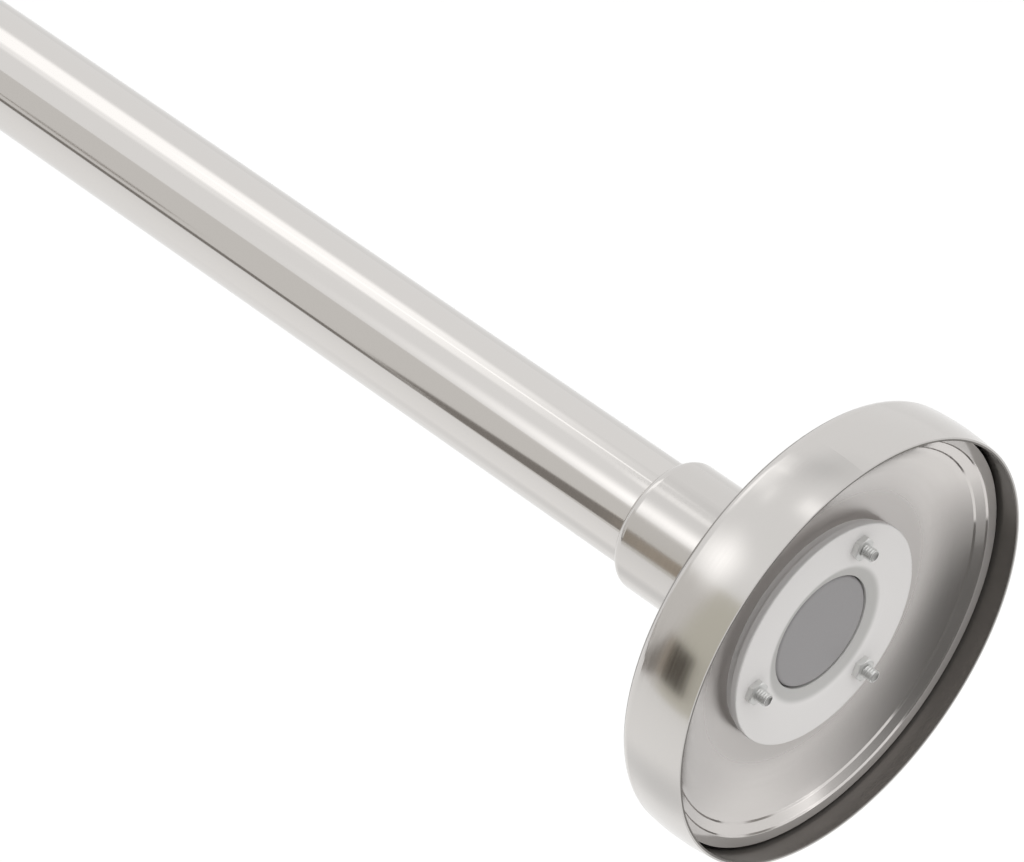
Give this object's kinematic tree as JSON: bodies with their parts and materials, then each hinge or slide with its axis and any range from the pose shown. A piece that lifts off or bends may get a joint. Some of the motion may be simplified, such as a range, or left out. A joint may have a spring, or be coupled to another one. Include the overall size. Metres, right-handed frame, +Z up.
{
  "type": "corner shower curtain rod",
  "caption": "L-shaped shower curtain rod: round tube legs meet at a bent corner, and each free end has a clamped wall flange under a sliding round cover cup.",
  "frame": {"origin": "centre of the first flange's rim, on the plane of the wall that it stands against", "axes": "+X from that wall into the room along leg a, +Y along leg b towards the second wall, +Z up"},
  "size_m": [0.9664, 0.9664, 0.104],
  "materials": {
    "polished_tube": "polished nickel over steel tube",
    "spun_cover": "polished nickel over spun steel sheet",
    "turned_collar": "polished nickel over turned steel",
    "pressed_dish": "bright pressed steel",
    "cast_ring": "pale matt casting",
    "plated_fastener": "zinc plated steel",
    "grub_screw": "plain steel",
    "moulded_plug": "moulded grey plastic",
    "joiner_steel": "plain drawn steel"
  },
  "bodies": {
    "rod": {"leg_a": "polished_tube", "leg_b": "polished_tube", "corner_elbow": "polished_tube", "joiner_a": "joiner_steel", "joiner_b": "joiner_steel", "joiner_screws_a": "grub_screw", "joiner_screws_b": "grub_screw", "collar_a": "turned_collar", "collar_b": "turned_collar", "collar_set_screw_a": "grub_screw", "collar_set_screw_b": "grub_screw", "inner_dish_a": "pressed_dish", "inner_dish_b": "pressed_dish", "clamp_ring_a": "cast_ring", "clamp_ring_b": "cast_ring", "clamp_screws_a": "plated_fastener", "clamp_screws_b": "plated_fastener", "clamp_nuts_a": "plated_fastener", "clamp_nuts_b": "plated_fastener", "tube_plug_a": "moulded_plug", "tube_plug_b": "moulded_plug"},
    "cover_a": {"cover_cup_a": "spun_cover"},
    "cover_b": {"cover_cup_b": "spun_cover"}
  },
  "joints": [
    {"name": "cover_a_slide", "type": "slide", "parent": "rod", "child": "cover_a", "axis": [1, 0, 0], "range_m": [0, 0.78]},
    {"name": "cover_b_slide", "type": "slide", "parent": "rod", "child": "cover_b", "axis": [0, -1, 0], "range_m": [0, 0.78]}
  ]
}
